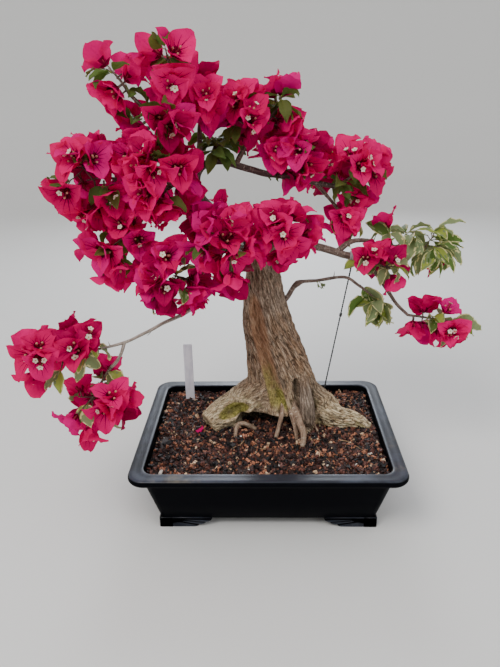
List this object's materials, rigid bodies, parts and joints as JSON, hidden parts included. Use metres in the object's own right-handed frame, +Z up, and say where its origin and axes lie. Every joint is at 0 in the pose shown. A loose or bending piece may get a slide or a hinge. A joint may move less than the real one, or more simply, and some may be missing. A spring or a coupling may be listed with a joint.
{
  "type": "potted bougainvillea bonsai",
  "caption": "Flowering bougainvillea bonsai with a broad flared trunk and a spreading crown of magenta bracts, in a low rectangular footed pot.",
  "frame": {"origin": "middle of the whole object's bounding box seen from above, on the surface the pot's feet stand on", "axes": "+Z up; +X to the right along the pot's long side and -Y towards the viewer, out of the pot's front"},
  "size_m": [0.6978, 0.4258, 0.6995],
  "materials": {
    "pot": "dark blue-black, satin with a soft gloss, dusty along the rim",
    "soil": "coarse matt granules, red-brown with dark and tan grains",
    "bark": "matt flaky bark, tan to grey-brown with mossy patches",
    "bloom": "thin papery magenta bracts with pale edges and fine veins",
    "leaf": "soft satin olive leaves with cream margins",
    "label": "smooth satin",
    "wire": "matt black"
  },
  "bodies": {
    "root": {"pot": "pot", "soil": "soil", "trunk": "bark", "bough_arch_rise": "bark", "bough_arch_over": "bark", "bough_right": "bark", "bough_right_drop": "bark", "bough_low_right": "bark", "bough_low_left": "bark", "bough_low_left_drop": "bark", "bough_left_rise": "bark", "bough_left": "bark", "bough_leader": "bark", "bough_top_left": "bark", "bough_top_right": "bark", "bough_crown_left": "bark", "bough_crown_mid": "bark", "bough_crown_right": "bark", "bough_right_upper": "bark", "bough_right_under": "bark", "bough_right_back": "bark", "bough_left_hang": "bark", "bough_lower_left": "bark", "bough_centre_front": "bark", "bough_centre_right": "bark", "bough_inner": "bark", "bough_back_left": "bark", "bough_back_low": "bark", "bough_back_top": "bark", "bough_back_right": "bark", "bloom_top_left": "bloom", "bloom_top_right": "bloom", "bloom_upper_left": "bloom", "bloom_left": "bloom", "bloom_left_inner": "bloom", "bloom_left_hang": "bloom", "bloom_lower_left": "bloom", "bloom_centre_front": "bloom", "bloom_centre_right": "bloom", "bloom_crown_left": "bloom", "bloom_crown_mid": "bloom", "bloom_crown_right": "bloom", "bloom_right_upper": "bloom", "bloom_right_end": "bloom", "bloom_right_under": "bloom", "leaves_right": "leaf", "bloom_right_cut": "bloom", "leaves_right_hang": "leaf", "bloom_right_tip": "bloom", "bloom_low_left_mid": "bloom", "bloom_low_left_low": "bloom", "leaves_inner": "leaf", "bloom_back_left": "bloom", "bloom_back_low": "bloom", "bloom_back_top": "bloom", "bloom_back_right": "bloom", "plant_label": "label", "guy_wire": "wire"}
  },
  "joints": []
}
